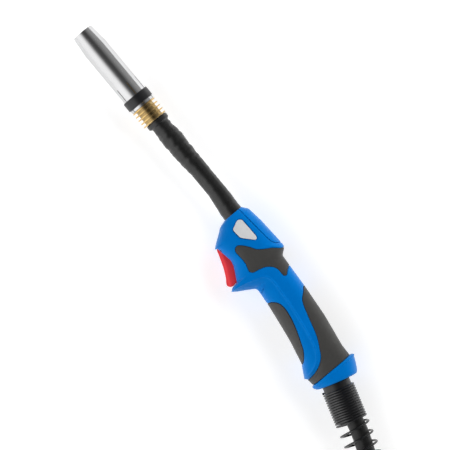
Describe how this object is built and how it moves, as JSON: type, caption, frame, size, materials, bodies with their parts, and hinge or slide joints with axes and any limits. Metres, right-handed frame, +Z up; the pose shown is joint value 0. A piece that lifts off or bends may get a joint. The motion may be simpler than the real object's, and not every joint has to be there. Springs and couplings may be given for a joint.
{
  "type": "mig welding torch",
  "caption": "MIG welding torch with a flexible sleeved neck, pull-off gas nozzle, finned head, trigger handle with soft grips, ball-jointed cable folded into a tied hank and machine connector.",
  "frame": {"origin": "on the table, under the middle of the torch without its cable", "axes": "+X from the gas nozzle to the cable, +Y towards the top of the handle, +Z up from the table, through the torch's left side"},
  "size_m": [0.8196, 0.1494, 0.0766],
  "materials": {
    "blue_plastic": "satin moulded",
    "grip_rubber": "matt soft-touch",
    "red_plastic": "satin moulded",
    "badge_silver": "silver-grey, blank",
    "nickel_plate": "polished nickel",
    "brass": "machined",
    "copper": "drawn copper alloy",
    "steel": "zinc plated",
    "spring_steel": "black coated wire",
    "sleeve_rubber": "satin heat-shrunk tube",
    "black_plastic": "matt moulded",
    "cable_rubber": "matt jacket",
    "ceramic": "fired ceramic"
  },
  "bodies": {
    "handle": {"handle_shell_left": "blue_plastic", "grip_front_left": "grip_rubber", "grip_upper_left": "grip_rubber", "grip_lower_left": "grip_rubber", "badge_left": "badge_silver", "handle_shell_right": "blue_plastic", "grip_front_right": "grip_rubber", "grip_upper_right": "grip_rubber", "grip_lower_right": "grip_rubber", "badge_right": "badge_silver", "handle_screw_1": "steel", "handle_screw_2": "steel", "handle_screw_3": "steel", "top_cap": "blue_plastic", "rear_ring": "blue_plastic", "trigger_pin": "steel", "union_nut": "brass", "connecting_block": "brass", "liner_tube": "cable_rubber", "micro_switch": "black_plastic", "ball_socket": "black_plastic", "trigger_spring": "steel"},
    "trigger": {"trigger": "red_plastic"},
    "switch_button": {"switch_button": "red_plastic"},
    "neck_root": {"neck_root_tube": "copper", "neck_sleeve_root": "sleeve_rubber"},
    "link_1": {"neck_link_1": "copper", "neck_sleeve_1": "sleeve_rubber"},
    "link_2": {"neck_link_2": "copper", "neck_sleeve_2": "sleeve_rubber"},
    "link_3": {"neck_link_3": "copper", "neck_sleeve_3": "sleeve_rubber"},
    "link_4": {"neck_link_4": "copper", "neck_sleeve_4": "sleeve_rubber"},
    "link_5": {"neck_link_5": "copper", "neck_sleeve_5": "sleeve_rubber"},
    "link_6": {"neck_link_6": "copper", "neck_sleeve_6": "sleeve_rubber"},
    "torch_head": {"neck_head_tube": "copper", "neck_sleeve_head": "sleeve_rubber", "finned_head": "brass", "gas_diffuser": "ceramic", "tip_holder": "brass", "contact_tip": "copper"},
    "nozzle": {"gas_nozzle": "nickel_plate", "nozzle_ring": "black_plastic"},
    "cable": {"cable_fitting": "brass", "cable_lead": "cable_rubber", "cable_hank": "cable_rubber", "cable_tail": "cable_rubber", "connector_boot": "sleeve_rubber", "connector_housing": "black_plastic", "connector_body": "black_plastic", "connector_spigot": "brass", "control_pin_1": "brass", "control_pin_2": "brass"},
    "swivel": {"swivel_ball": "steel", "swivel_sleeve": "black_plastic", "support_spring": "spring_steel"},
    "lock_nut": {"connector_nut": "brass"}
  },
  "joints": [
    {"name": "trigger_pull", "type": "hinge", "parent": "handle", "child": "trigger", "pos_m": [-0.00469, -0.00399, 0.02], "axis": [0, 0, 1], "range_deg": [0, 6], "stiffness_Nm_per_rad": 0.6, "springref_deg": -3.44, "deforming": ["trigger_spring"]},
    {"name": "switch_press", "type": "slide", "parent": "handle", "child": "switch_button", "axis": [0, 1, 0], "range_m": [0, 0.0016]},
    {"name": "neck_direction", "type": "hinge", "parent": "handle", "child": "neck_root", "pos_m": [-0.02269, 0.02351, 0.02], "axis": [-1, 0, 0], "range_deg": [-90, 90]},
    {"name": "neck_bend_1", "type": "hinge", "parent": "neck_root", "child": "link_1", "pos_m": [-0.03497, 0.02351, 0.02], "axis": [0, 0, 1], "range_deg": [-17, 17]},
    {"name": "neck_bend_2", "type": "hinge", "parent": "link_1", "child": "link_2", "pos_m": [-0.04354, 0.02351, 0.02], "axis": [0, 0, 1], "range_deg": [-17, 17]},
    {"name": "neck_bend_3", "type": "hinge", "parent": "link_2", "child": "link_3", "pos_m": [-0.05212, 0.02351, 0.02], "axis": [0, 0, 1], "range_deg": [-17, 17]},
    {"name": "neck_bend_4", "type": "hinge", "parent": "link_3", "child": "link_4", "pos_m": [-0.06069, 0.02351, 0.02], "axis": [0, 0, 1], "range_deg": [-17, 17]},
    {"name": "neck_bend_5", "type": "hinge", "parent": "link_4", "child": "link_5", "pos_m": [-0.06926, 0.02351, 0.02], "axis": [0, 0, 1], "range_deg": [-17, 17]},
    {"name": "neck_bend_6", "type": "hinge", "parent": "link_5", "child": "link_6", "pos_m": [-0.07783, 0.02351, 0.02], "axis": [0, 0, 1], "range_deg": [-17, 17]},
    {"name": "neck_bend_7", "type": "hinge", "parent": "link_6", "child": "torch_head", "pos_m": [-0.0864, 0.02351, 0.02], "axis": [0, 0, 1], "range_deg": [-17, 17]},
    {"name": "nozzle_pull", "type": "slide", "parent": "torch_head", "child": "nozzle", "axis": [-1, 0, 0], "range_m": [0, 0.09]},
    {"name": "cable_swing", "type": "hinge", "parent": "handle", "child": "cable", "pos_m": [0.13931, 0.00141, 0.02], "axis": [0, 0, 1], "range_deg": [-10, 10]},
    {"name": "swivel_turn", "type": "hinge", "parent": "cable", "child": "swivel", "pos_m": [0.13931, 0.00141, 0.02], "axis": [0.9542, -0.299, 0], "range_deg": [-180, 180]},
    {"name": "lock_nut_turn", "type": "hinge", "parent": "cable", "child": "lock_nut", "pos_m": [0.47931, -0.05179, 0.0536], "axis": [1, 0, 0], "continuous": true}
  ],
  "couplings": [
    {"joint": "switch_press", "follows": "trigger_pull", "m_per_rad": 0.0145},
    {"joint": "neck_bend_2", "follows": "neck_bend_1", "ratio": 1},
    {"joint": "neck_bend_3", "follows": "neck_bend_1", "ratio": 1},
    {"joint": "neck_bend_4", "follows": "neck_bend_1", "ratio": 1},
    {"joint": "neck_bend_5", "follows": "neck_bend_1", "ratio": 1},
    {"joint": "neck_bend_6", "follows": "neck_bend_1", "ratio": 1},
    {"joint": "neck_bend_7", "follows": "neck_bend_1", "ratio": 1}
  ]
}
